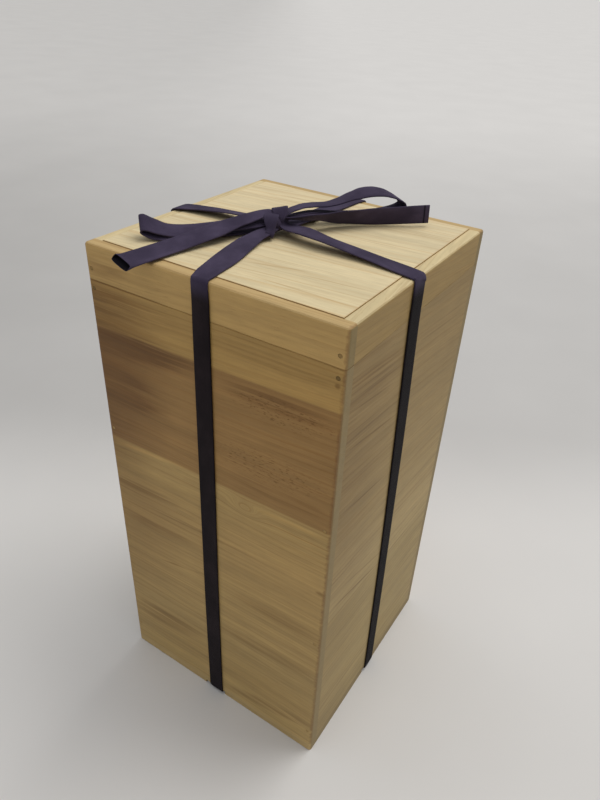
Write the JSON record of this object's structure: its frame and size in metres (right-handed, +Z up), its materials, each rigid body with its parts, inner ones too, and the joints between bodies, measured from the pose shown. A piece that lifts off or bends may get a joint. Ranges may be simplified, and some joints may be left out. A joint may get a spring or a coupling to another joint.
{
  "type": "paulownia wood box",
  "caption": "Tall square box of pegged paulownia boards with a flush lift-off lid on an inner lip, tied four ways over the lid with a flat dark purple cotton cord and a bow.",
  "frame": {"origin": "middle of the underside, on the surface that the box stands on", "axes": "+Z up along the box, -Y towards the front wall (the left-hand visible wall in the picture), +X towards the right wall"},
  "size_m": [0.2028, 0.2205, 0.4326],
  "materials": {
    "wall_boards": "planed, unfinished, silky matt",
    "bottom_board": "planed, unfinished, silky matt",
    "lip_boards": "planed, unfinished, silky matt",
    "lid_panel": "planed, unfinished, silky matt",
    "pegs": "end grain, matt",
    "cord": "plain-woven cotton, matt"
  },
  "bodies": {
    "box_body": {"front_wall": "wall_boards", "back_wall": "wall_boards", "left_wall": "wall_boards", "right_wall": "wall_boards", "bottom_board": "bottom_board", "front_lip": "lip_boards", "back_lip": "lip_boards", "left_lip": "lip_boards", "right_lip": "lip_boards", "front_left_peg_1": "pegs", "front_left_peg_2": "pegs", "front_left_peg_3": "pegs", "front_left_peg_4": "pegs", "front_right_peg_1": "pegs", "front_right_peg_2": "pegs", "front_right_peg_3": "pegs", "front_right_peg_4": "pegs", "back_left_peg_1": "pegs", "back_left_peg_2": "pegs", "back_left_peg_3": "pegs", "back_left_peg_4": "pegs", "back_right_peg_1": "pegs", "back_right_peg_2": "pegs", "back_right_peg_3": "pegs", "back_right_peg_4": "pegs", "bottom_front_peg_1": "pegs", "bottom_front_peg_2": "pegs", "bottom_back_peg_1": "pegs", "bottom_back_peg_2": "pegs", "bottom_left_peg_1": "pegs", "bottom_left_peg_2": "pegs", "bottom_right_peg_1": "pegs", "bottom_right_peg_2": "pegs", "cord_front_side": "cord", "cord_back_side": "cord", "cord_left_side": "cord", "cord_right_side": "cord", "cord_under_front_back": "cord", "cord_under_left_right": "cord"},
    "lid": {"lid_front_rail": "wall_boards", "lid_back_rail": "wall_boards", "lid_left_rail": "wall_boards", "lid_right_rail": "wall_boards", "lid_top_panel": "lid_panel", "lid_front_left_peg": "pegs", "lid_front_right_peg": "pegs", "lid_back_left_peg": "pegs", "lid_back_right_peg": "pegs", "cord_front_top": "cord", "cord_back_top": "cord", "cord_left_top": "cord", "cord_right_top": "cord", "cord_knot": "cord", "cord_left_loop": "cord", "cord_right_loop": "cord", "cord_left_tail": "cord", "cord_right_tail": "cord"}
  },
  "joints": [
    {"name": "lid_lift", "type": "slide", "parent": "box_body", "child": "lid", "axis": [0, 0, 1], "range_m": [0, 0.06], "deforming": ["cord_front_side", "cord_back_side", "cord_left_side", "cord_right_side"]}
  ]
}
